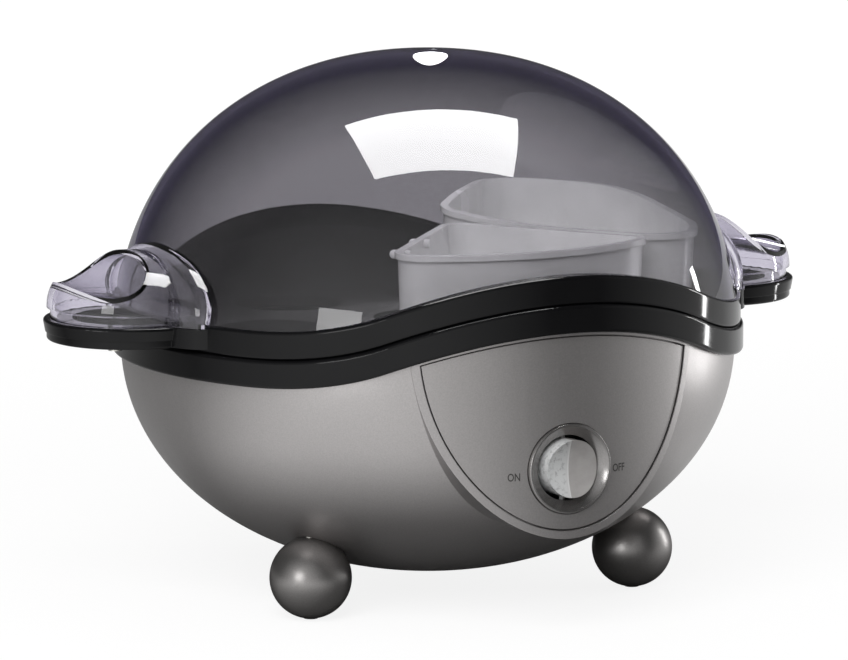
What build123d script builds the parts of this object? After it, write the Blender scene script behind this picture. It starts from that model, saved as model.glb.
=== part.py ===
from build123d import *
import math
import os

# Tabletop egg boiler. Millimetres, +Z up, origin on the floor under the bowl's axis.
# The front, with the control panel, faces -Y. The two handles lie along X.

# ---- Driving dimensions ---------------------------------------------------------------
# Bowl: a superellipse turned about the axis, upright above its widest level
bowl_radius = 90.0
bowl_depth = 67.5
bowl_level = 73.7
bowl_power = 2.05
bowl_wall = 2.2

# Wave: the joint between bowl and lid, seen from the front, repeated on the back
wave_height = 16.1
wave_half_width = 80.0
wave_crest_radius = 130.0

# Levels of the wave at the handles
base_ring_low = 71.3
parting = 79.2
lid_ring_top = 87.3

# Rings
base_ring_radius = 92.5
lid_ring_radius = 91.7
ring_edge_fillet = 0.9
skirt_outer = 84.8
skirt_inner = 82.8
shelf_top = 75.5
shelf_thick = 2.0
shelf_inner = 78.8
lip_rise = 2.0

# Dome
dome_radius = 91.84
dome_height = 86.93
dome_level = 71.4
dome_power = 2.15
dome_wall = 2.0
dome_seat = 1.3
dome_foot_radius = 90.9
ledge_inner = 85.0

# Handles: a black lug on the lid ring with a clear hood over it
lug_centre = 94.2
lug_radius = 24.4
lug_low = 80.0
lug_step = 82.4
lug_top = 86.2
lug_flare = 0.7
hood_level = 89.2
hood_radius = 24.3
hood_height = 15.8
hood_power = 2.2
hood_wall = 1.8
hood_flange_radius = 23.3
hood_screw_top = 85.0

# Collar that spreads hood and lug along the lid: an ellipse in plan and upright
collar_centre = 84.0
collar_reach = 12.0
collar_half_width = 33.0
collar_rise = 17.6

# Finger groove across the hood: a level cylinder, placed by its distance out and height
groove_centre = 108.5
groove_level = 108.2
groove_radius = 13.6

# Control panel: a shield on an upright face that stands out from the bowl
shield_half_width = 42.1
shield_drop = 53.7
shield_level = 85.0
shield_power = 1.93
console_radius = 90.3
console_rim = 2.3
panel_face = 89.9
panel_thick = 2.0
panel_gap = 0.45
rim_strip = 0.9
console_floor = 1.8

# Switch
switch_height = 48.9
bezel_radius = 12.8
bezel_seat = 86.9
bezel_throat = 88.2
bezel_front = 90.5
throat_radius = 9.35
button_radius = 8.2
button_crease = -1.0
button_valley = 89.2
button_dish = 17.0
button_slope = 8.5
button_pivot = 85.0
button_tilt = 6.0
switch_body_radius = 10.3
switch_body_back = 72.0

# Gland for the mains cord, at the back
gland_level = 38.0
gland_tilt = 38.0
gland_bore = 3.5

# Ball feet
foot_radius = 11.83
foot_ring = 60.3
foot_angles = (-60.0, 60.0, 180.0)
pad_radius = 2.1
pad_thick = 1.6
pad_stand = 0.25

# Basin, heating plate and what is under it
basin_flange_low = 71.5
basin_seat = 45.6
plate_rim_radius = 56.5
plate_well_radius = 49.4
plate_floor = 39.3
plate_thick = 0.8
gasket_thick = 1.2
element_ring = 30.0
element_tube = 3.3
shield_floor = 30.6

# Egg rack
rack_radius = 81.9
rack_top = 79.8
rack_plate = 1.8
egg_hole_radius = 16.0
egg_ring = 50.0

# Steaming bowls
tub_floor = 82.3
tub_wall = 1.6
tub_rim = 107.3
tub_raised_rim = 112.5
tub_draft = 2.0
tub_bead = 0.8

far = 130.0


# ---- Shared shapes --------------------------------------------------------------------
def around(angle, radius, z=0.0):
    """Place something at an angle from the front, positive towards +X."""
    t = math.radians(angle)
    return Location((radius * math.sin(t), -radius * math.cos(t), z), (0, 0, angle))


def disc(radius, low, high):
    return Pos(0, 0, low) * Cylinder(
        radius, high - low, align=(Align.CENTER, Align.CENTER, Align.MIN)
    )


def annulus(inner, outer, low, high):
    return disc(outer, low, high) - disc(inner, low, high)


def turned(*lines):
    """Turn a closed outline of (radius, height) about the vertical axis."""
    outline = lines[0]
    for line in lines[1:]:
        outline = outline + line
    return revolve(Plane.XZ * make_face(outline), Axis.Z)


def quarter(a, b, power, steps=6):
    """Points of a superellipse quarter from (a, 0) to (0, b)."""
    points = []
    for i in range(steps + 1):
        t = math.pi / 2 * i / steps
        x = a * max(math.cos(t), 0.0) ** (2 / power)
        points.append((x if i < steps else 0.0, b * math.sin(t) ** (2 / power)))
    return points


def wave_line(level, reach=far):
    """The wave: flat at the handles, an arc up, the crest's arc, and an arc down."""
    bend = 2 * math.atan(wave_height / wave_half_width)
    trough_radius = wave_half_width / math.sin(bend) - wave_crest_radius
    turn_x = wave_crest_radius * math.sin(bend)
    turn_z = level + trough_radius * (1 - math.cos(bend))
    foot_x = wave_half_width - trough_radius * math.sin(bend / 2)
    foot_z = level + trough_radius * (1 - math.cos(bend / 2))
    return (
        Line((-reach, level), (-wave_half_width, level))
        + ThreePointArc((-wave_half_width, level), (-foot_x, foot_z), (-turn_x, turn_z))
        + ThreePointArc((-turn_x, turn_z), (0, level + wave_height), (turn_x, turn_z))
        + ThreePointArc((turn_x, turn_z), (foot_x, foot_z), (wave_half_width, level))
        + Line((wave_half_width, level), (reach, level))
    )


def under_wave(level, low=-10.0):
    """Everything under the wave at this level."""
    side = Polyline((far, level), (far, low), (-far, low), (-far, level))
    return extrude(Plane.XZ * make_face(wave_line(level) + side), far, both=True)


def wave_band(low, high):
    """The slab between two waves, one above the other."""
    right = Line((far, low), (far, high))
    left = Line((-far, low), (-far, high))
    outline = wave_line(low) + right + wave_line(high) + left
    return extrude(Plane.XZ * make_face(outline), far, both=True)


def bowl_form(inset=0.0, top=110.0):
    """The bowl's form, filled up to the top, or the same form inset from it."""
    radius = bowl_radius - inset
    rising = quarter(radius, -(bowl_depth - inset), bowl_power)
    side = [(x, bowl_level + z) for x, z in reversed(rising)]
    curve = Spline(side, tangents=[(1, 0), (0, 1)], tangent_scalars=(1, 1))
    return turned(curve, Polyline((radius, bowl_level), (radius, top), (0, top), side[0]))


def dome_form(inset=0.0):
    """The dome's form, filled, or the same form inset from it."""
    radius = dome_radius - inset
    rising = [(x, dome_level + z) for x, z in quarter(radius, dome_height - inset, dome_power)]
    curve = Spline(rising, tangents=[(0, 1), (-1, 0)], tangent_scalars=(1, 1))
    apex = rising[-1]
    return turned(curve, Polyline(apex, (0, dome_level), (radius, dome_level)))


def shield_form(grow, top=110.0):
    """The control panel's shield outline, run from the axis to the front."""
    half = shield_half_width + grow
    drop = shield_drop + grow
    right = [(x, shield_level + z) for x, z in quarter(half, -drop, shield_power)]
    left = [(-x, z) for x, z in reversed(right)]
    bottom = Spline(right + left[1:], tangents=[(0, -1), (0, 1)], tangent_scalars=(1, 1))
    frame = Polyline((-half, shield_level), (-half, top), (half, top), (half, shield_level))
    return extrude(Plane.XZ * make_face(bottom + frame), 100)


switch_axis = Plane(origin=(0, 0, switch_height), x_dir=(1, 0, 0), z_dir=(0, -1, 0))


def export(name, shape):
    shape.label = name
    export_step(shape, f"parts/{name}.step")


# ---- Base: housing, panel and switch --------------------------------------------------
def bowl_housing():
    shell = bowl_form() + (shield_form(console_rim) & disc(console_radius, 0, 110))
    floor_radius = console_radius - 2.4 - console_floor
    console_pad = shield_form(console_rim) - disc(floor_radius, 0, 110)
    room = bowl_form(bowl_wall) - console_pad
    room += shield_form(console_rim - 2.0) & disc(floor_radius, 0, 110)
    shell -= room
    shell += switch_boss() & bowl_form(-20)
    pocket = shield_form(0) - disc(panel_face - panel_thick, 0, 110)
    shell -= pocket & under_wave(base_ring_low - rim_strip)
    shell -= switch_axis * disc(bezel_radius + 0.4, bezel_seat, 99)
    shell -= switch_axis * disc(switch_body_radius + 0.1, 80, 99)
    for angle in foot_angles:
        shell += foot_boss(angle)
        shell -= around(angle, foot_ring) * disc(1.5, 0, 60)
    for angle in rim_screw_angles:
        shell += rim_boss(angle)
        shell -= around(angle, rim_screw_ring) * disc(1.4, rim_screw_low, 80)
    shell += pedestal(0, 34, 22, 16, terminal_level)
    shell += pedestal(-26, -12, 14, 14, buzzer_level)
    shell -= gland_hole()
    return shell & under_wave(base_ring_low)


def switch_boss():
    return switch_axis * annulus(switch_body_radius, 15, 83.5, bezel_seat)


terminal_level = 18.0
buzzer_level = 19.0
rim_screw_angles = (45, 135, 225, 315)
rim_screw_ring = 81.5
rim_screw_low = 60.0
foot_screw_seat = 29.0


def foot_boss(angle):
    """A round boss inside the housing with a flat top for the foot's screw."""
    return (around(angle, foot_ring) * disc(5, 5, foot_screw_seat)) & bowl_form(1.0)


def rim_boss(angle):
    """A boss on the housing's wall that takes a screw through the base ring."""
    post = disc(3.4, rim_screw_low - 3, basin_flange_low)
    web = Pos(0, -5, (rim_screw_low - 3 + basin_flange_low) / 2) * Box(
        4, 10, basin_flange_low - rim_screw_low + 3
    )
    return (around(angle, rim_screw_ring) * (post + web)) & bowl_form(1.0)


def pedestal(x, y, width, depth, top):
    """A flat-topped block standing on the housing's floor."""
    block = Pos(x, y, top / 2) * Box(width, depth, top)
    return block & bowl_form(1.0)


def control_panel():
    plate = disc(panel_face, 0, 110) - disc(panel_face - panel_thick, 0, 110)
    plate = plate & shield_form(-panel_gap) & under_wave(base_ring_low - rim_strip - panel_gap)
    hole = bezel_radius + 0.15
    return plate - switch_axis * disc(hole, 80, 99)


def switch_bezel():
    """A dished ring: a rounded outer edge and a hollow that falls to the button."""
    back = Polyline(
        (throat_radius, bezel_throat), (throat_radius, bezel_seat),
        (bezel_radius, bezel_seat), (bezel_radius, bezel_front - 0.5),
    )
    edge = ThreePointArc(
        (bezel_radius, bezel_front - 0.5),
        (bezel_radius - 0.4, bezel_front),
        (bezel_radius - 0.9, bezel_front - 0.3),
    )
    dish = ThreePointArc(
        (bezel_radius - 0.9, bezel_front - 0.3), (10.2, 88.75), (throat_radius, bezel_throat)
    )
    return switch_axis * revolve(Plane.XZ * make_face(back + edge + dish), Axis.Z)


def rocker_button():
    """A round rocker: two dished wings that meet in a crease. It rests with its right wing pressed."""
    wings = disc(button_radius, 82.0, 91.6)
    for turn in (-1, 1):
        dish = Pos(button_crease, 0, button_valley + button_dish)
        dish = dish * Rot(0, 90 - turn * button_slope, 0) * Cylinder(button_dish, 60)
        wings -= dish & (Pos(button_crease + turn * 10, 0, 95) * Box(20, 40, 40))
    wings -= disc(6.0, 82.0, 87.0)
    pins = Pos(0, 0, button_pivot) * Rot(90, 0, 0) * Cylinder(0.8, 2 * 9.95)
    pins -= disc(button_radius - 0.6, 80, 92)
    button = switch_axis * (wings + pins)
    pivot = Axis((0, -button_pivot, 0), (0, 0, 1))
    return button.rotate(pivot, button_tilt)


def switch_body():
    """The switch's case, with bearings for the rocker's pins and three blade terminals."""
    case = disc(switch_body_radius, switch_body_back, bezel_seat - 0.05)
    case -= disc(9.5, 80.0, bezel_seat)
    case -= Pos(0, 0, button_pivot) * Rot(90, 0, 0) * Cylinder(0.85, 2 * 10.0)
    for height in (-5, 0, 5):
        case += Pos(0, height, switch_body_back - 3) * Box(4.8, 0.8, 6.4)
    return switch_axis * case


def pilot_lamp():
    glass = disc(1.9, 80.0, 84.3)
    tip = Pos(0, 0, 84.3) * Sphere(1.9)
    return switch_axis * (glass + tip)


# ---- Base: rings, basin and heating ---------------------------------------------------
def base_ring():
    """Black ring on the bowl: an outer band on the wave, a skirt inside it and a flat shelf."""
    band = annulus(skirt_outer, base_ring_radius, 60, 110) & wave_band(base_ring_low, parting)
    band = fillet(outer_edges(band, base_ring_radius), ring_edge_fillet)
    band -= annulus(skirt_outer, bowl_radius - bowl_wall - 0.2, 60, 110) & under_wave(parting - 2.5)
    skirt = annulus(skirt_inner, skirt_outer, shelf_top - shelf_thick, 110)
    skirt = skirt & under_wave(parting)
    lip = annulus(skirt_inner, skirt_outer - 0.2, shelf_top, 110) & under_wave(parting + lip_rise)
    shelf = annulus(shelf_inner, skirt_outer, shelf_top - shelf_thick, shelf_top)
    ring = band + skirt + lip + shelf
    for angle in rim_screw_angles:
        ring -= around(angle, rim_screw_ring) * rim_screw_form()
    return ring


def outer_edges(ring, radius):
    """The long wavy edges that lie on the ring's outer wall."""
    edges = []
    for edge in ring.edges():
        middle = edge.position_at(0.5)
        quarter_point = edge.position_at(0.25)
        on_wall = abs(math.hypot(middle.X, middle.Y) - radius) < 0.01
        on_wall = on_wall and abs(math.hypot(quarter_point.X, quarter_point.Y) - radius) < 0.01
        if on_wall and edge.length > 3:
            edges.append(edge)
    return edges


def rim_screw_form():
    head = Pos(0, 0, shelf_top - 1.6) * Cone(
        1.4, 2.6, 1.6, align=(Align.CENTER, Align.CENTER, Align.MIN)
    )
    return disc(1.4, rim_screw_low + 2, shelf_top - 1.6) + head


def rim_screws():
    return Compound([around(angle, rim_screw_ring) * rim_screw_form() for angle in rim_screw_angles])


def inner_basin():
    """Black funnel inside the base: a flange under the shelf, a curved wall and the plate's seat."""
    flange_top = shelf_top - shelf_thick
    outside = Polyline((84.6, flange_top), (84.6, basin_flange_low), (77.5, basin_flange_low))
    outside_wall = Spline([(77.5, basin_flange_low), (67.2, 66.2), (61.0, 56.0), (58.7, 47.0)])
    seat = Polyline(
        (58.7, 47.0), (58.7, 44.0), (50.2, 44.0), (50.2, basin_seat), (57.0, basin_seat), (57.0, 47.6)
    )
    inside_wall = Spline([(57.0, 47.6), (59.3, 56.8), (66.0, 67.7), (76.6, flange_top)])
    top = Line((76.6, flange_top), (84.6, flange_top))
    basin = turned(outside, outside_wall, seat, inside_wall, top)
    for angle in rim_screw_angles:
        basin -= around(angle, rim_screw_ring) * disc(1.4, 60, 80)
    return basin


def plate_gasket():
    return annulus(50.4, plate_rim_radius, basin_seat, basin_seat + gasket_thick)


def heating_plate():
    """Stainless dish: a flat floor, a curved wall and a rim that lies on the gasket."""
    rim = basin_seat + gasket_thick
    low = plate_floor - plate_thick
    thick = plate_thick
    well = plate_well_radius
    under = Polyline((0, low), (well - 5, low))
    under_wall = ThreePointArc((well - 5, low), (well - 1.4, low + 1.6), (well, low + 5))
    rim_line = Polyline(
        (well, low + 5), (well, rim), (plate_rim_radius, rim), (plate_rim_radius, rim + thick),
        (well - thick, rim + thick), (well - thick, low + 5),
    )
    inner_wall = ThreePointArc(
        (well - thick, low + 5), (well - 2.0, low + 2.2), (well - 5, plate_floor)
    )
    floor = Polyline((well - 5, plate_floor), (0, plate_floor), (0, low))
    return turned(under, under_wall, rim_line, inner_wall, floor)


def heating_element():
    """Tubular element bent into an open ring, flattened where it is brazed under the plate."""
    level = plate_floor - plate_thick - element_tube + 0.6
    ring = Torus(element_ring, element_tube)
    gap = Pos(0, element_ring, 0) * Box(20, 20, 10)
    tube = Pos(0, 0, level) * (ring - gap)
    tube -= disc(60, plate_floor - plate_thick, 60)
    half_gap = math.degrees(math.asin(10 / element_ring)) + 3
    for side in (-1, 1):
        tube += around(180 + side * half_gap, element_ring) * disc(1.5, 23, level)
    return tube


def thermostat():
    top = plate_floor - plate_thick
    return disc(9, 33, top) + disc(7, 26, 33) + Pos(0, 0, 24.5) * Box(0.8, 12, 5)


def heat_shield():
    """Aluminium cup under the plate. Its rim bears on the basin's seat and holds the plate down."""
    low = shield_floor
    cup = turned(
        Polyline(
            (57.5, 44), (57.5, 43), (51.6, 43), (51.6, 39), (42.6, low), (10, low),
            (10, low + 1), (42.0, low + 1), (50.6, 39.5), (50.6, 44), close=True,
        )
    )
    for angle in stud_angles:
        cup -= around(angle, stud_ring) * disc(1.7, 20, 40)
    half_gap = math.degrees(math.asin(10 / element_ring)) + 3
    for side in (-1, 1):
        cup -= around(180 + side * half_gap, element_ring) * disc(3, 20, 33)
    return cup


stud_angles = (0, 120, 240)
stud_ring = 18.0


def plate_studs():
    studs = [around(angle, stud_ring) * disc(1.6, 26.5, plate_floor - plate_thick) for angle in stud_angles]
    return Compound(studs)


def stud_nuts():
    nut = extrude(RegularPolygon(3.4, 6), 2.4) - disc(1.6, 0, 3)
    return Compound([around(angle, stud_ring, shield_floor - 2.4) * nut for angle in stud_angles])


def thermal_fuse():
    body = Pos(0, -30, shield_floor - 2.0) * Rot(0, 90, 0) * Cylinder(2.0, 11)
    leads = Pos(0, -30, shield_floor - 2.0) * Rot(0, 90, 0) * Cylinder(0.5, 26)
    return body + leads


def fuse_clip():
    """A strap that holds the fuse against the heat shield."""
    outer = Pos(0, -30, shield_floor - 1.6) * Box(5, 7, 3.2)
    outer += Pos(0, -30, shield_floor - 2.6) * Rot(0, 90, 0) * Cylinder(2.8, 5)
    bore = Pos(0, -30, shield_floor - 2.0) * Rot(0, 90, 0) * Cylinder(2.0, 8)
    bore += Pos(0, -30, shield_floor - 1.0) * Box(8, 4, 2)
    ears = Pos(0, -30, shield_floor - 0.4) * Box(5, 16, 0.8)
    return (outer + ears - bore) & disc(60, 10, shield_floor)


def terminal_block():
    """Three-way block on its pedestal, with a screw well over each wire hole."""
    block = Pos(0, 34, terminal_level + 5) * Box(18, 13, 10)
    for x in (-6, 0, 6):
        block -= Pos(x, 34, terminal_level + 8) * Cylinder(1.8, 6)
        block -= Pos(x, 34, terminal_level + 3.5) * Rot(90, 0, 0) * Cylinder(1.4, 20)
    return block


def buzzer():
    case = Pos(-26, -12, 0) * disc(6.5, buzzer_level, buzzer_level + 7)
    port = Pos(-26, -12, 0) * disc(1.4, buzzer_level + 4, buzzer_level + 8)
    return case - port


def gland_axis():
    """Square to the bowl's wall at the back, pointing out and down."""
    t = math.radians(gland_tilt)
    drop = (bowl_level - gland_level) / bowl_depth
    reach = bowl_radius * (1 - drop**bowl_power) ** (1 / bowl_power)
    return Plane(origin=(0, reach, gland_level), x_dir=(1, 0, 0), z_dir=(0, math.cos(t), -math.sin(t)))


def gland_hole():
    return gland_axis() * disc(5.6, -12, 12)


def cord_gland():
    """Round bushing for the mains cord, with a flange on each side of the housing's wall."""
    axis = gland_axis()
    sleeve = axis * disc(5.6, -5, 3.4)
    collar = (axis * disc(7.6, -1.5, 2.4)) - bowl_form()
    keeper = (axis * disc(7.2, -4.6, 0)) & bowl_form(bowl_wall)
    return sleeve + collar + keeper - axis * disc(gland_bore, -12, 12)


# ---- Feet -----------------------------------------------------------------------------
def foot(angle):
    """A ball cut to the bowl's form where it seats, and flat where its pad is let in."""
    ball = Pos(0, 0, foot_radius) * Sphere(foot_radius)
    ball -= disc(foot_radius, -1, pad_stand)
    ball -= disc(pad_radius, 0, pad_thick)
    ball -= disc(1.5, 12, 40)
    return (around(angle, foot_ring) * ball) - bowl_form()


def foot_pads():
    return Compound([around(angle, foot_ring) * disc(pad_radius, 0, pad_thick) for angle in foot_angles])


def foot_screws():
    screw = disc(1.5, 12.5, foot_screw_seat) + disc(3, foot_screw_seat, foot_screw_seat + 2)
    screw -= Pos(0, 0, foot_screw_seat + 1.6) * Box(0.8, 4, 1)
    return Compound([around(angle, foot_ring) * screw for angle in foot_angles])


# ---- Lid ------------------------------------------------------------------------------
def dome():
    """Clear shell whose foot is turned down to sit inside the lid ring."""
    shell = dome_form() - dome_form(dome_wall)
    shell -= annulus(dome_foot_radius, 95, 60, 110) & under_wave(lid_ring_top - 0.8)
    return shell - under_wave(parting + dome_seat)


def lid_ring():
    """Black ring under the dome: a ledge, a band that hugs the dome, and two lugs."""
    band = annulus(ledge_inner, lid_ring_radius, 60, 120) & wave_band(parting, lid_ring_top)
    band = fillet(outer_edges(band, lid_ring_radius), ring_edge_fillet)
    for side in (-1, 1):
        band += lug(side)
    seat = dome_form() - under_wave(parting + dome_seat)
    seat -= annulus(dome_foot_radius, 95, 60, 110) & under_wave(lid_ring_top - 0.8)
    return band - seat


def collar_prism(grow, low, high):
    """The collar's ellipse in plan, upright between two levels."""
    outline = Ellipse(collar_reach + grow, collar_half_width + grow)
    return Pos(collar_centre, 0, low) * extrude(outline, high - low)


def lug(side):
    """A round-ended plate with a step below its upturned rim, a collar and a seat for the hood."""
    plate = Pos(lug_centre, 0, 0) * disc(lug_radius, lug_low, lug_step)
    plate = fillet(plate.edges().sort_by(Axis.Z)[0], 0.8)
    rim = Pos(lug_centre, 0, lug_step) * Cone(
        lug_radius + 0.4, lug_radius + 0.4 + lug_flare, lug_top - lug_step,
        align=(Align.CENTER, Align.CENTER, Align.MIN),
    )
    rim = fillet(rim.edges().sort_by(Axis.Z)[-1], 0.8)
    rim += collar_prism(0.5, lug_low + 0.4, lug_top)
    seat = Pos(lug_centre, 0, 0) * disc(hood_flange_radius + 0.2, lug_step, 100)
    cup = plate + (rim - seat) - disc(lid_ring_radius - 0.4, 60, 120)
    for place in hood_screw_places(1):
        cup -= place * disc(1.1, 70, 100)
    if side < 0:
        cup = mirror(cup, Plane.YZ)
    return cup


def hood_solid(inset):
    """The hood's form: a helmet and its collar, less the finger groove, or the same form inset."""
    crown = quarter(hood_radius - inset, hood_height - inset, hood_power)
    curve = Spline(crown, tangents=[(0, 1), (-1, 0)], tangent_scalars=(1, 1))
    helmet = turned(curve, Polyline(crown[-1], (0, 0), crown[0]))
    collar = scale(
        Sphere(1), by=(collar_reach - inset, collar_half_width - inset, collar_rise - inset)
    )
    form = Pos(lug_centre, 0, hood_level) * helmet
    form += (Pos(collar_centre, 0, hood_level) * collar) - disc(160, 0, hood_level)
    form += collar_prism(-inset, lug_top + 0.05, hood_level)
    groove = Pos(groove_centre, 0, groove_level) * Rot(90, 0, 0)
    return form - groove * Cylinder(groove_radius + inset, 80)


def hood(side):
    flange = Pos(lug_centre, 0, 0) * disc(hood_flange_radius, lug_step, hood_level)
    well = disc(hood_flange_radius - hood_wall, lug_top, hood_level) + disc(17, 80, hood_level)
    shell = hood_solid(0) + flange - hood_solid(hood_wall) - Pos(lug_centre, 0, 0) * well
    shell -= disc(lid_ring_radius + 0.1, 60, lid_ring_top + 0.1)
    shell -= dome_form(-0.15)
    shell -= Pos(-50, 0, 90) * Box(100, 200, 100)
    for place in hood_screw_places(1):
        shell -= place * disc(1.1, 70, hood_screw_top)
    if side < 0:
        shell = mirror(shell, Plane.YZ)
    return shell


def hood_screws(side):
    """Two small screws under each lug that hold the hood down."""
    screw = disc(1.1, lug_low, hood_screw_top) + disc(2.0, lug_low - 0.7, lug_low)
    return [place * screw for place in hood_screw_places(side)]


def hood_screw_places(side):
    return [Pos(side * 106, y, 0) for y in (-15.5, 15.5)]


# ---- Rack and steaming bowls ----------------------------------------------------------
def egg_rack():
    """Black plate with a hole for each egg, a skirt that stands on the shelf and two grips."""
    plate = disc(rack_radius, rack_top - rack_plate, rack_top)
    plate += annulus(rack_radius - 1.7, rack_radius, shelf_top, rack_top)
    places = [Pos(0, 0, 0)] + [around(30 + 60 * i, egg_ring) for i in range(6)]
    for place in places:
        plate += place * disc(egg_hole_radius + 1.3, rack_top - rack_plate - 1.6, rack_top - rack_plate)
    for place in places:
        plate -= place * disc(egg_hole_radius, 60, 90)
    for side in (-1, 1):
        plate += rack_grip(side)
    return plate


def rack_grip(side):
    """An upright tab with a round top, thick enough to hold between two fingers."""
    half, low, high, thick = 12.0, rack_top - 0.5, 91.0, 2.2
    outline = Polyline((-half, high - 6), (-half, low), (half, low), (half, high - 6))
    crown = ThreePointArc((half, high - 6), (0, high), (-half, high - 6))
    tab = extrude(Plane.XZ * make_face(outline + crown), thick / 2, both=True)
    return Pos(0, side * 76.5, 0) * tab


def wedge(apex, side_a, side_b, radius, rounds):
    """A slice of a round tub: two straight sides from the apex and an arc about the axis."""
    middle = (Vector(*side_a) + Vector(*side_b)).normalized() * radius
    outline = (
        Line(apex, side_a)
        + ThreePointArc(side_a, (middle.X, middle.Y), side_b)
        + Line(side_b, apex)
    )
    face = make_face(outline)
    for corner, size in zip((apex, side_a, side_b), rounds):
        vertex = face.vertices().sort_by_distance((corner[0], corner[1], 0))[0]
        face = fillet(vertex, size)
    return face


def on_circle(start, heading, radius):
    """Where a line from start, at a heading from the front, meets a circle about the axis."""
    t = math.radians(heading)
    way = Vector(math.sin(t), -math.cos(t))
    begin = Vector(*start)
    along = begin.dot(way)
    reach = -along + math.sqrt(along * along - begin.dot(begin) + radius * radius)
    end = begin + way * reach
    return (end.X, end.Y)


def tub(outline, rim, feet, cut=None):
    """A thin-walled tub with drafted sides, a bead round its rim and feet that clear the rack."""
    depth = rim - tub_floor
    outer = extrude(Pos(0, 0, rim) * outline, -depth, taper=tub_draft)
    inner_outline = offset(outline, -tub_wall)
    inner = extrude(Pos(0, 0, rim) * inner_outline, -(depth - tub_wall), taper=tub_draft)
    bead = extrude(Pos(0, 0, rim - 8) * offset(outline, tub_bead), 8)
    band = disc(far, rim - 1.8, rim)
    if cut is not None:
        band = cut(1.8)
        outer -= cut(-20) - band
        bead = bead & band
    else:
        bead = bead & band
    body = outer + bead - inner
    for x, y in feet:
        body += Pos(x, y, 0) * disc(3.0, rack_top, tub_floor + 0.5)
    return body


front_apex = (7.6, 1.5)
back_apex = (8.3, 9.0)
side_heading = 31.8
knob_heading = 141
front_knobs = ((-31.5, -48.0), (-16.5, -29.5))


def rim_knobs(places, level):
    """Small round-ended knobs that stand out from a tub's rim, to lift it by."""
    knobs = []
    for x, y in places:
        t = Rot(0, 0, knob_heading)
        bar = Pos(x, y, level - 1.4) * t * Rot(0, 90, 0) * Cylinder(1.3, 5)
        tip = Pos(x, y, level - 1.4) * t * Pos(2.5, 0, 0) * Sphere(1.3)
        knobs.append(bar + tip)
    return knobs


def container_front():
    radius = 70.0
    left = on_circle(front_apex, -39.0, radius)
    right = on_circle(front_apex, side_heading, radius)
    outline = wedge(front_apex, left, right, radius, (6.0, 9.0, 5.0))
    body = tub(outline, tub_rim, [(0, -25), (-24, -62), (24, -62)])
    for knob in rim_knobs(front_knobs, tub_rim):
        body += knob
    return body


def raised_rim_band(thick):
    """A band under the back tub's rim, which climbs from front to back in two arcs."""
    low_y, high_y = -25.0, 35.0
    rise = tub_raised_rim - tub_rim
    bend = 2 * math.atan(rise / (high_y - low_y))
    radius = (high_y - low_y) / 2 / math.sin(bend)
    quarter_y = radius * math.sin(bend / 2)
    quarter_z = radius * (1 - math.cos(bend / 2))
    mid = ((low_y + high_y) / 2, tub_rim + rise / 2)

    def line(drop):
        return (
            Line((-far, tub_rim - drop), (low_y, tub_rim - drop))
            + ThreePointArc(
                (low_y, tub_rim - drop),
                (low_y + quarter_y, tub_rim + quarter_z - drop),
                (mid[0], mid[1] - drop),
            )
            + ThreePointArc(
                (mid[0], mid[1] - drop),
                (high_y - quarter_y, tub_raised_rim - quarter_z - drop),
                (high_y, tub_raised_rim - drop),
            )
            + Line((high_y, tub_raised_rim - drop), (far, tub_raised_rim - drop))
        )

    low, high = max(thick, 0.0), min(thick, 0.0)
    left = Line((-far, tub_rim - low), (-far, tub_rim - high))
    right = Line((far, tub_raised_rim - low), (far, tub_raised_rim - high))
    return extrude(Plane.YZ * make_face(line(low) + right + line(high) + left), far, both=True)


def container_back():
    radius = 78.0
    near = on_circle(back_apex, side_heading, radius)
    back = on_circle(back_apex, 141.0, radius)
    outline = wedge(back_apex, near, back, radius, (8.0, 12.0, 14.0))
    feet = [(25, 5), (56, -38), (50, 38)]
    return tub(outline, tub_raised_rim, feet, raised_rim_band)


# ---- Write every sub-part -------------------------------------------------------------
def main():
    os.makedirs("parts", exist_ok=True)
    export("bowl_housing", bowl_housing())
    export("control_panel", control_panel())
    export("switch_bezel", switch_bezel())
    export("rocker_button", rocker_button())
    export("switch_body", switch_body())
    export("pilot_lamp", pilot_lamp())
    export("base_ring", base_ring())
    export("rim_screws", rim_screws())
    export("inner_basin", inner_basin())
    export("plate_gasket", plate_gasket())
    export("heating_plate", heating_plate())
    export("heating_element", heating_element())
    export("thermostat", thermostat())
    export("heat_shield", heat_shield())
    export("plate_studs", plate_studs())
    export("stud_nuts", stud_nuts())
    export("thermal_fuse", thermal_fuse())
    export("fuse_clip", fuse_clip())
    export("terminal_block", terminal_block())
    export("buzzer", buzzer())
    export("cord_gland", cord_gland())
    for name, angle in zip(("front_left", "front_right", "back"), foot_angles):
        export(f"foot_{name}", foot(angle))
    export("foot_pads", foot_pads())
    export("foot_screws", foot_screws())
    export("dome", dome())
    export("lid_ring", lid_ring())
    export("hood_left", hood(-1))
    export("hood_right", hood(1))
    export("hood_screws", Compound(hood_screws(-1) + hood_screws(1)))
    export("egg_rack", egg_rack())
    export("container_front", container_front())
    export("container_back", container_back())


main()
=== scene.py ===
"""Tabletop egg boiler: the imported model's parts, dressed and lit. Metres, +Z up, front towards -Y."""
import math

import bpy
from mathutils import Matrix, Vector


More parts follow.
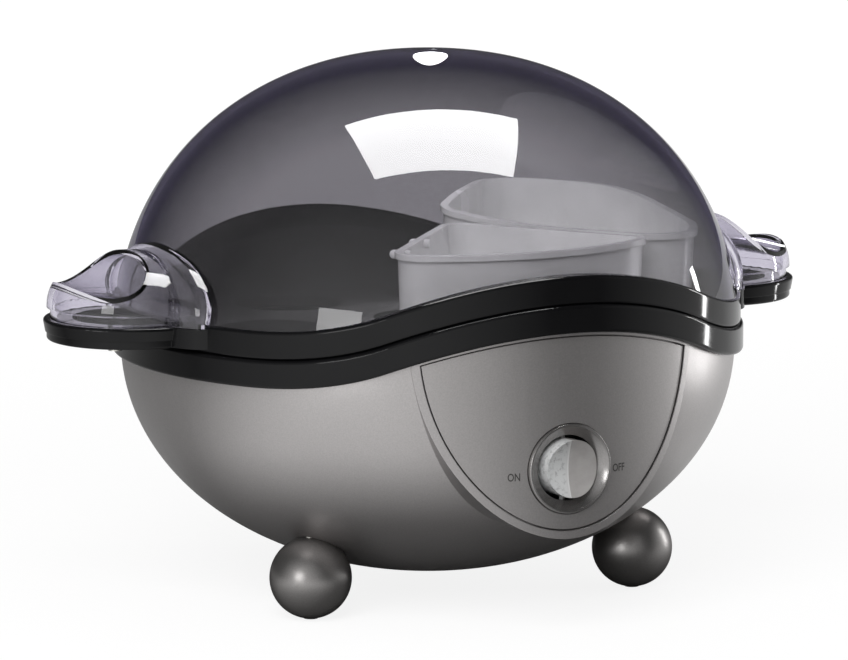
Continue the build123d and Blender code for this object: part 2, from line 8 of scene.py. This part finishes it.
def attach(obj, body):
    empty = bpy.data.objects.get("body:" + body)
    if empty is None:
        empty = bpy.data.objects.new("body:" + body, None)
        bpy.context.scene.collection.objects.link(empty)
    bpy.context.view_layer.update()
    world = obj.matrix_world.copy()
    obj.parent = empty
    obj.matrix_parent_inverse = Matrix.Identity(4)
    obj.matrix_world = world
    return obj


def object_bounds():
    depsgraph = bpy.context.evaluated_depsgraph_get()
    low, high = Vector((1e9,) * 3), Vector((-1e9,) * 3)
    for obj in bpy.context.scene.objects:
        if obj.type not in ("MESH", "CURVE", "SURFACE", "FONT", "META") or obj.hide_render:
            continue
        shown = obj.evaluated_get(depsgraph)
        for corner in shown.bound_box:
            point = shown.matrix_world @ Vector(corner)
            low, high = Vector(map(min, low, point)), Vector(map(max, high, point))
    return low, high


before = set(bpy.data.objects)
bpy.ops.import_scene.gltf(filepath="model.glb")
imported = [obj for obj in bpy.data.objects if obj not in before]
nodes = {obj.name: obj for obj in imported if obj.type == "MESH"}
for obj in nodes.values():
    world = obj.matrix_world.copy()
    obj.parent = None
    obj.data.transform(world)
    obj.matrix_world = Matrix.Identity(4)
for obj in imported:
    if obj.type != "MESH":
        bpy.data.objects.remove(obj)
cad_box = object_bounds()
MM = 0.001


def direction(azimuth, elevation=0.0):
    """The unit vector towards an azimuth, counted from the front to the right, and an elevation."""
    a, e = math.radians(azimuth), math.radians(elevation)
    return Vector((math.sin(a) * math.cos(e), -math.cos(a) * math.cos(e), math.sin(e)))


# ---- Shader helpers -------------------------------------------------------------------
# A Mix node's two values and its result, by kind.
MIX_SOCKETS = {"FLOAT": (2, 3, 0), "RGBA": (6, 7, 2)}

# A noise value seldom leaves this range.
NOISE_LOW = 0.3
NOISE_HIGH = 0.7


def node(tree, kind, **settings):
    made = tree.nodes.new("ShaderNode" + kind)
    for key, value in settings.items():
        setattr(made, key, value)
    return made


def feed(tree, value, socket):
    """Links a socket to another one, or sets it to a number, a vector or an opaque colour."""
    if isinstance(value, bpy.types.NodeSocket):
        tree.links.new(value, socket)
    elif socket.type == "RGBA":
        socket.default_value = (*value, 1)
    else:
        socket.default_value = value


def principled(name, colour, rough, metal=0.0, **sockets):
    """A material with one Principled shader, its plain values set on its own sockets."""
    mat = bpy.data.materials.new(name)
    mat.use_nodes = True
    tree = mat.node_tree
    bsdf = tree.nodes["Principled BSDF"]
    plain = {"Base_Color": colour, "Roughness": rough, "Metallic": metal, **sockets}
    for key, value in plain.items():
        feed(tree, value, bsdf.inputs[key.replace("_", " ")])
    return mat, tree, bsdf


def calculate(tree, kind, operation, *values):
    """The outputs of a Math or VectorMath node."""
    made = node(tree, kind, operation=operation)
    for socket, value in zip(made.inputs, values):
        feed(tree, value, socket)
    return made.outputs


def mix(tree, factor, first, second, kind="RGBA"):
    """first where factor is 0 and second where it is 1. Each may be a plain value or a socket."""
    low, high, result = MIX_SOCKETS[kind]
    made = node(tree, "Mix", data_type=kind)
    for slot, value in ((0, factor), (low, first), (high, second)):
        feed(tree, value, made.inputs[slot])
    return made.outputs[result]


def ranged(tree, value, low, high, start=NOISE_LOW, end=NOISE_HIGH):
    """value, taken from start..end to low..high."""
    made = node(tree, "MapRange")
    made.inputs["From Min"].default_value = start
    made.inputs["From Max"].default_value = end
    made.inputs["To Min"].default_value = low
    made.inputs["To Max"].default_value = high
    feed(tree, value, made.inputs["Value"])
    return made.outputs["Result"]


def place_coords(tree):
    """The place in the piece's own coordinates."""
    return node(tree, "TexCoord").outputs["Object"]


def noise(tree, scale, detail=2.0, rough=0.5, stretch=None):
    """A noise value in the piece's own coordinates, with scale in repeats per metre."""
    made = node(tree, "TexNoise")
    made.inputs["Scale"].default_value = scale
    made.inputs["Detail"].default_value = detail
    made.inputs["Roughness"].default_value = rough
    coords = place_coords(tree)
    if stretch:
        mapping = node(tree, "Mapping")
        mapping.inputs["Scale"].default_value = stretch
        feed(tree, coords, mapping.inputs["Vector"])
        coords = mapping.outputs["Vector"]
    feed(tree, coords, made.inputs["Vector"])
    return made.outputs["Fac"]


def relief(tree, bsdf, height, distance, strength, edge=None):
    """Gives the shader a bump of this distance, over sharp edges that are rounded by edge."""
    made = node(tree, "Bump")
    made.inputs["Strength"].default_value = strength
    made.inputs["Distance"].default_value = distance
    feed(tree, height, made.inputs["Height"])
    if edge is not None:
        rounded = node(tree, "Bevel", samples=6)
        rounded.inputs["Radius"].default_value = edge
        feed(tree, rounded.outputs["Normal"], made.inputs["Normal"])
    feed(tree, made.outputs["Normal"], bsdf.inputs["Normal"])


# ---- Materials ------------------------------------------------------------------------
def metallic_paint(name, colour, rough, metal, edge=0.35 * MM, contrast=0.06, **sockets):
    """Silver lacquer: fine flake in colour and normal, slow drift in roughness."""
    mat, tree, bsdf = principled(name, colour, rough, metal, **sockets)
    flake = ranged(tree, noise(tree, scale=2600, detail=1.0), 0, 1)
    dark = tuple(c * (1 - contrast) for c in colour)
    light = tuple(min(c * (1 + contrast), 1) for c in colour)
    feed(tree, mix(tree, flake, dark, light), bsdf.inputs["Base Color"])
    drift = noise(tree, scale=35, detail=3.0)
    feed(tree, ranged(tree, drift, rough - 0.02, rough + 0.03), bsdf.inputs["Roughness"])
    relief(tree, bsdf, noise(tree, scale=1800), distance=0.012 * MM, strength=0.5, edge=edge)
    return mat


def moulded(name, colour, rough, edge=0.25 * MM, peel=0.004 * MM, **sockets):
    """Moulded plastic: slight mottling, faint orange peel and softened edges."""
    mat, tree, bsdf = principled(name, colour, rough, **sockets)
    drift = noise(tree, scale=60, detail=3.0)
    feed(tree, ranged(tree, drift, rough * 0.85, rough * 1.25), bsdf.inputs["Roughness"])
    mottled = tuple(min(c * 1.15 + 0.001, 1) for c in colour)
    feed(tree, mix(tree, ranged(tree, drift, 0, 1), colour, mottled), bsdf.inputs["Base Color"])
    relief(tree, bsdf, noise(tree, scale=500), distance=peel, strength=0.4, edge=edge)
    return mat


def clear_plastic(name, tint, edge_tint, let_through, deepens, rough=0.01, ior=1.55):
    """Clear moulded plastic, deeper in colour where it is seen edge on. Lamps shine through it."""
    mat, tree, bsdf = principled(name, tint, rough, Transmission_Weight=1.0, IOR=ior)
    facing = node(tree, "LayerWeight")
    facing.inputs["Blend"].default_value = 0.5
    depth = ranged(tree, facing.outputs["Facing"], 0, 1, *deepens)
    feed(tree, mix(tree, depth, tint, edge_tint), bsdf.inputs["Base Color"])
    relief(tree, bsdf, noise(tree, scale=45, detail=1.0), distance=0.02 * MM, strength=0.05)
    film = node(tree, "BsdfTransparent")
    feed(tree, let_through, film.inputs["Color"])
    shadow_or_seen = node(tree, "MixShader")
    feed(tree, node(tree, "LightPath").outputs["Is Shadow Ray"], shadow_or_seen.inputs[0])
    feed(tree, bsdf.outputs[0], shadow_or_seen.inputs[1])
    feed(tree, film.outputs[0], shadow_or_seen.inputs[2])
    feed(tree, shadow_or_seen.outputs[0], tree.nodes["Material Output"].inputs["Surface"])
    return mat


def brushed(name, colour, rough):
    """Pressed stainless steel with a fine turned grain."""
    mat, tree, bsdf = principled(name, colour, rough, metal=1.0)
    lines = noise(tree, scale=900, stretch=(1, 1, 0.1))
    feed(tree, ranged(tree, lines, rough - 0.06, rough + 0.08), bsdf.inputs["Roughness"])
    relief(tree, bsdf, lines, distance=0.01 * MM, strength=0.4)
    return mat


# Where the rocker's two wings meet, how wide the painted highlight on the crease is, and how wide the
# change is from painted light on the wing that stands out to painted shade on the pressed one.
CREASE = -0.55 * MM
CREASE_HIGHLIGHT_HALF = 0.45 * MM
WING_SHADE_FADE = 0.2 * MM


def button_painted_light():
    """Clear rocker: bubbles and painted light in the wing that stands out, a painted highlight on the
    crease and painted shade on the pressed wing.
    """
    mat, tree, bsdf = principled(
        "button_painted_light", (0.72, 0.71, 0.7), rough=0.12, Transmission_Weight=0.35, IOR=1.49
    )
    axes = node(tree, "SeparateXYZ")
    feed(tree, place_coords(tree), axes.inputs[0])
    across = axes.outputs["X"]
    bubbles = ranged(tree, noise(tree, scale=650, detail=4.0, rough=0.7), 0, 1, start=0.36, end=0.5)
    # Bubbly grain on the wing that stands out, lightened by painted light.
    lit_wing_bubbles = mix(tree, bubbles, (0.6, 0.6, 0.61), (0.95, 0.96, 0.96))
    cloudy = ranged(tree, noise(tree, scale=260), 0, 1)
    # The pressed wing, darkened by painted shade.
    plain = mix(tree, cloudy, (0.5, 0.48, 0.47), (0.58, 0.56, 0.55))
    # Across the crease, painted light on one wing gives way to painted shade on the other.
    shaded_wing_mask = ranged(tree, across, 0, 1, CREASE - WING_SHADE_FADE, CREASE + WING_SHADE_FADE)
    wings_painted_light = mix(tree, shaded_wing_mask, lit_wing_bubbles, plain)
    # A painted highlight along the crease.
    crease_highlight = calculate(tree, "Math", "COMPARE", across, CREASE, CREASE_HIGHLIGHT_HALF)[0]
    feed(tree, mix(tree, crease_highlight, wings_painted_light, (0.92, 0.92, 0.92)), bsdf.inputs["Base Color"])
    relief(tree, bsdf, bubbles, distance=0.03 * MM, strength=0.35, edge=0.35 * MM)
    return mat


silver = metallic_paint("silver_lacquer", (0.46, 0.443, 0.44), rough=0.38, metal=0.88)
panel_silver = metallic_paint(
    "panel_lacquer", (0.43, 0.414, 0.41), rough=0.36, metal=0.86, edge=0.25 * MM
)
# A darker copy of the silver lacquer for the feet: painted shade, since they face down.
shaded_foot_silver = metallic_paint(
    "foot_lacquer", (0.34, 0.328, 0.322), rough=0.34, metal=0.92, Specular_Tint=(0.35, 0.35, 0.35)
)
gunmetal = metallic_paint("bezel_lacquer", (0.32, 0.31, 0.305), rough=0.2, metal=0.9, edge=0.15 * MM)
black = moulded(
    "gloss_black", (0.004, 0.004, 0.0045), rough=0.09, edge=0.3 * MM, Specular_IOR_Level=0.25
)
rack_black = moulded("rack_black", (0.006, 0.006, 0.007), rough=0.2)
matte_black = moulded("matte_black", (0.012, 0.012, 0.013), rough=0.5)
white = moulded("gloss_white", (0.85, 0.855, 0.845), rough=0.22, edge=0.4 * MM, Coat_Weight=0.2)
smoked = clear_plastic(
    "smoked_clear",
    tint=(0.43, 0.42, 0.445),
    edge_tint=(0.015, 0.012, 0.035),
    let_through=(1, 1, 1),
    deepens=(0.3, 0.7),
    ior=1.58,
)
violet = clear_plastic(
    "violet_clear",
    tint=(0.78, 0.76, 0.83),
    edge_tint=(0.36, 0.32, 0.48),
    let_through=(0.9, 0.9, 0.92),
    deepens=(0.4, 0.95),
)
button_clear = button_painted_light()
steel = brushed("pressed_steel", (0.62, 0.62, 0.62), rough=0.28)
aluminium = brushed("mill_aluminium", (0.72, 0.72, 0.72), rough=0.35)
plated = brushed("zinc_plate", (0.68, 0.67, 0.63), rough=0.3)
brass = brushed("plain_brass", (0.7, 0.52, 0.24), rough=0.3)
rubber = moulded("soft_rubber", (0.02, 0.02, 0.02), rough=0.7, peel=0.02 * MM)
silicone = moulded("red_silicone", (0.42, 0.09, 0.06), rough=0.55)
cream = moulded("cream_plastic", (0.7, 0.66, 0.55), rough=0.45)
mark_ink = moulded("mark_ink", (0.05, 0.048, 0.045), rough=0.5, edge=0.02 * MM)

finishes = {
    silver: ["bowl_housing"],
    panel_silver: ["control_panel"],
    shaded_foot_silver: ["foot_front_left", "foot_front_right", "foot_back"],
    gunmetal: ["switch_bezel"],
    black: ["base_ring", "lid_ring"],
    rack_black: ["egg_rack"],
    matte_black: ["inner_basin", "switch_body", "buzzer"],
    white: ["container_front", "container_back"],
    smoked: ["dome"],
    violet: ["hood_left", "hood_right"],
    button_clear: ["rocker_button", "pilot_lamp"],
    steel: ["heating_plate", "heating_element"],
    aluminium: ["thermostat", "heat_shield"],
    plated: ["rim_screws", "plate_studs", "stud_nuts", "fuse_clip", "foot_screws", "hood_screws"],
    brass: ["thermal_fuse"],
    rubber: ["cord_gland", "foot_pads"],
    silicone: ["plate_gasket"],
    cream: ["terminal_block"],
}
SHARP_ANGLE = math.radians(28)


def dress():
    """Gives each CAD piece its material and smooth shading, with its sharp edges kept."""
    for mat, names in finishes.items():
        for name in names:
            mesh = nodes[name].data
            mesh.materials.clear()
            mesh.materials.append(mat)
            mesh.polygons.foreach_set("use_smooth", [True] * len(mesh.polygons))
            mesh.set_sharp_from_angle(angle=SHARP_ANGLE)


# ---- The dome's normals ---------------------------------------------------------------
# The dome's walls are two turned superellipses, the inner one inset by the wall.
DOME_RADIUS = 91.84 * MM
DOME_HEIGHT = 86.93 * MM
DOME_LEVEL = cad_box[1][2] - DOME_HEIGHT
DOME_POWER = 2.15
DOME_WALL = 2.0 * MM

# A point this near to a wall's curve belongs to it, and its corners follow the curve's normal
# unless they turn away from it by more than this cosine allows, as at an edge.
DOME_NEAR = 0.3 * MM
DOME_TURN = 0.97


def dome_normal(place, inset):
    """The outward normal of a wall of the dome at a point, or None off that wall."""
    radius = DOME_RADIUS - inset
    height = DOME_HEIGHT - inset
    out = math.hypot(place.x, place.y)
    up = place.z - DOME_LEVEL
    if up <= 0:
        return None
    steep = (out / radius) ** (DOME_POWER - 1) / radius
    level = (up / height) ** (DOME_POWER - 1) / height
    off = ((out / radius) ** DOME_POWER + (up / height) ** DOME_POWER - 1) / DOME_POWER
    if abs(off) > DOME_NEAR * math.hypot(steep, level):
        return None
    if out < DOME_NEAR:
        return Vector((0, 0, 1))
    return Vector((place.x / out * steep, place.y / out * steep, level)).normalized()


def even_dome(mesh):
    """Gives the dome's walls their curve's own normals, so that what is seen through them stays even."""
    corners = [corner.vector.copy() for corner in mesh.corner_normals]
    for inset in (0.0, DOME_WALL):
        found = [dome_normal(v.co, inset) for v in mesh.vertices]
        for i, loop in enumerate(mesh.loops):
            true = found[loop.vertex_index]
            if true is None:
                continue
            turn = true.dot(corners[i])
            if abs(turn) > DOME_TURN:
                corners[i] = true if turn > 0 else -true
    mesh.normals_split_custom_set(corners)


# ---- Marks on the panel ---------------------------------------------------------------
# The radius of the panel's outer face, and the words' size, relief, thickening and narrowing.
PANEL_RADIUS = 89.9 * MM
MARK_SIZE = 3.1 * MM
MARK_RELIEF = 0.03 * MM
MARK_WEIGHT = 0.05 * MM
MARK_NARROWING = 0.78


def mark(name, word, angle, height):
    """A small word printed on the panel, bent to its curve."""
    curve = bpy.data.curves.new(name, "FONT")
    curve.body = word
    curve.size = MARK_SIZE
    curve.align_x = "CENTER"
    curve.align_y = "CENTER"
    curve.extrude = MARK_RELIEF
    curve.offset = MARK_WEIGHT
    curve.resolution_u = 4
    text = bpy.data.objects.new(name + "_curve", curve)
    bpy.context.scene.collection.objects.link(text)
    bpy.context.view_layer.update()
    mesh = bpy.data.meshes.new_from_object(text.evaluated_get(bpy.context.evaluated_depsgraph_get()))
    bpy.data.objects.remove(text)
    for v in mesh.vertices:
        turn = math.radians(angle) + v.co.x * MARK_NARROWING / PANEL_RADIUS
        radius = PANEL_RADIUS + v.co.z
        v.co = Vector((radius * math.sin(turn), -radius * math.cos(turn), height + v.co.y))
    mesh.materials.append(mark_ink)
    made = bpy.data.objects.new(name, mesh)
    bpy.context.scene.collection.objects.link(made)
    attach(made, "base")


# ---- Floor and world ------------------------------------------------------------------
# The strength of the world for soft light, and of the room's dim parts in mirrors.
AMBIENT = 0.38
ROOM_DIM = 0.06

# The floor's half side, its colour, and the white that is added for the camera near the object
# and far from it, with the distances at which these hold. In mirrors it glows with painted light,
# FLOOR_GLOW at most, under a painted shadow of the object that takes the glow from nothing at
# the first shadow distance to all of it at the second.
FLOOR_HALF = 14.0
FLOOR_COLOUR = (0.18, 0.18, 0.18)
FLOOR_LIFT = (0.86, 0.98)
FLOOR_LIFT_AT = (0.2, 1.2)
FLOOR_GLOW = 0.8
FLOOR_SHADOW_AT = (0.068, 0.125)

# Painted light that the floor shows only in mirrors, in sectors towards the studio's white walls,
# and those walls as the room shows them. Each has its azimuth, the cosines off that azimuth at
# which it starts and is full, and its share of white.
FLOOR_LIGHT_SECTORS = (
    (-50, 0.42, 0.95, 1.0),
    (82, 0.68, 0.97, 0.75),
    (125, 0.68, 0.97, 0.75),
    (-165, 0.4, 0.95, 0.3),
)
ROOM_WALLS = (
    (-50, 0.42, 0.95, 0.6),
    (82, 0.68, 0.97, 0.6),
)


def by_ray(tree, seen, mirrored, lit):
    """seen for camera rays and rays through glass, mirrored for reflected ones, lit for the rest."""
    path = node(tree, "LightPath").outputs
    direct = calculate(tree, "Math", "MAXIMUM", path["Is Camera Ray"], path["Is Transmission Ray"])[0]
    indirect = mix(tree, path["Is Glossy Ray"], lit, mirrored, "FLOAT")
    return mix(tree, direct, indirect, seen, "FLOAT")


def distance_out(tree):
    """Distance from the object's axis, and the direction out from it."""
    flat = calculate(tree, "VectorMath", "MULTIPLY", place_coords(tree), (1, 1, 0))["Vector"]
    length = calculate(tree, "VectorMath", "LENGTH", flat)["Value"]
    way = calculate(tree, "VectorMath", "NORMALIZE", flat)["Vector"]
    return length, way


def white_walls(tree, way, dim, bright, walls):
    """bright where the direction points at one of the studio's white walls, dim elsewhere."""
    lightest = None
    for azimuth, start, end, share in walls:
        towards = calculate(tree, "VectorMath", "DOT_PRODUCT", way, direction(azimuth))["Value"]
        wall = ranged(tree, towards, dim, dim + (bright - dim) * share, start, end)
        if lightest is None:
            lightest = wall
        else:
            lightest = calculate(tree, "Math", "MAXIMUM", lightest, wall)[0]
    return lightest


def floor():
    """White table. In mirrors it shows painted light in sectors towards the white walls, under a painted
    shadow of the object close by.
    """
    mesh = bpy.data.meshes.new("floor")
    low, high = -FLOOR_HALF, FLOOR_HALF
    mesh.from_pydata([(low, low, 0), (high, low, 0), (high, high, 0), (low, high, 0)], [], [(0, 1, 2, 3)])
    made = bpy.data.objects.new("floor", mesh)
    bpy.context.scene.collection.objects.link(made)
    mat, tree, bsdf = principled("pale_floor", FLOOR_COLOUR, rough=0.9, Specular_IOR_Level=0.0)
    out, way = distance_out(tree)
    # A painted shadow of the object that darkens the glow close to it.
    painted_shadow = ranged(tree, out, 0, 1, *FLOOR_SHADOW_AT)
    # Painted light in sectors towards the white walls.
    walls = white_walls(tree, way, 0, FLOOR_GLOW, FLOOR_LIGHT_SECTORS)
    # The glow that mirrors see: the painted light under the painted shadow.
    mirrored_painted_light = calculate(tree, "Math", "MULTIPLY", painted_shadow, walls)[0]
    seen = ranged(tree, out, *FLOOR_LIFT, *FLOOR_LIFT_AT)
    glow = node(tree, "Emission")
    feed(tree, (1, 1, 1), glow.inputs["Color"])
    feed(tree, by_ray(tree, seen, mirrored_painted_light, 0.0), glow.inputs["Strength"])
    both = node(tree, "AddShader")
    feed(tree, bsdf.outputs[0], both.inputs[0])
    feed(tree, glow.outputs[0], both.inputs[1])
    feed(tree, both.outputs[0], tree.nodes["Material Output"].inputs["Surface"])
    mesh.materials.append(mat)


def studio_world():
    """White where it is seen, and in mirrors a dim room with white walls on two sides."""
    world = bpy.data.worlds.new("studio")
    world.use_nodes = True
    bpy.context.scene.world = world
    tree = world.node_tree
    back = tree.nodes["Background"]
    feed(tree, (1, 1, 1), back.inputs["Color"])
    way = node(tree, "TexCoord").outputs["Generated"]
    room = white_walls(tree, way, ROOM_DIM, 1.0, ROOM_WALLS)
    feed(tree, by_ray(tree, 1.0, room, AMBIENT), back.inputs["Strength"])


# ---- Lamps and camera -----------------------------------------------------------------
# The point that the lamps face, and the distance of those that don't stand close to it.
LIT_POINT = Vector((0, 0, 0.08))
LAMP_FAR = 1.3

# The photograph's camera: where it stands from the point it looks at, the picture's width, the
# focal length and the optical axis in pixels, and the sensor's width in millimetres.
CAMERA_AZIMUTH = -26.2875
CAMERA_ELEVATION = 8.7603
CAMERA_DISTANCE = 1.588755
CAMERA_TARGET = Vector((0, 0, 0.075685))
PHOTO_WIDTH = 848
FOCAL_PIXELS = 5413.92
CENTRE_PIXEL = 427.646
SENSOR = 36.0


def softbox(name, azimuth, elevation, distance, width, height, power,
            roll=0.0, lights=True, mirrored=True, shape="RECTANGLE"):
    """A flat lamp, placed by its angle from the front, that faces the object."""
    lamp = bpy.data.lights.new(name, "AREA")
    lamp.shape = shape
    lamp.size = width
    lamp.size_y = height
    lamp.energy = power
    made = bpy.data.objects.new(name, lamp)
    bpy.context.scene.collection.objects.link(made)
    made.visible_camera = False
    made.visible_diffuse = lights
    made.visible_glossy = mirrored
    made.visible_transmission = False
    away = direction(azimuth, elevation)
    facing = away.to_track_quat("Z", "Y").to_matrix().to_4x4()
    spin = Matrix.Rotation(math.radians(roll), 4, "Z")
    made.matrix_world = Matrix.Translation(LIT_POINT + away * distance) @ facing @ spin


def lamps():
    """A fill from the upper left, a key on each side, the patch on the dome and a glint from behind."""
    softbox("fill", azimuth=-40, elevation=35, distance=LAMP_FAR, width=0.8, height=0.8,
            power=11.5, mirrored=False)
    softbox("key_left", azimuth=-58, elevation=8, distance=LAMP_FAR, width=0.36, height=0.4,
            power=2.2)
    softbox("key_right", azimuth=80.6, elevation=-1, distance=0.324, width=0.014, height=0.14,
            power=0.14)
    softbox("overhead", azimuth=22, elevation=86.7, distance=0.371, width=0.27, height=0.218,
            power=2.3, roll=139, lights=False)
    softbox("back_glint", azimuth=153.5, elevation=23, distance=LAMP_FAR, width=0.06, height=0.42,
            power=0.6, shape="ELLIPSE")


def camera():
    """The photograph's view, with the picture shifted to its optical axis."""
    cam = bpy.data.cameras.new("camera")
    cam.sensor_width = SENSOR
    cam.lens = FOCAL_PIXELS / PHOTO_WIDTH * SENSOR
    cam.shift_x = -(CENTRE_PIXEL - PHOTO_WIDTH / 2) / PHOTO_WIDTH
    cam.clip_end = 100
    made = bpy.data.objects.new("camera", cam)
    bpy.context.scene.collection.objects.link(made)
    away = direction(CAMERA_AZIMUTH, CAMERA_ELEVATION)
    made.location = CAMERA_TARGET + away * CAMERA_DISTANCE
    made.rotation_euler = away.to_track_quat("Z", "Y").to_euler()
    bpy.context.scene.camera = made


dress()
even_dome(nodes["dome"].data)
mark("mark_on", "ON", angle=-10.77, height=47.34 * MM)
mark("mark_off", "OFF", angle=10.35, height=47.7 * MM)
floor()
studio_world()
lamps()
camera()
bpy.context.scene.view_settings.view_transform = "Standard"
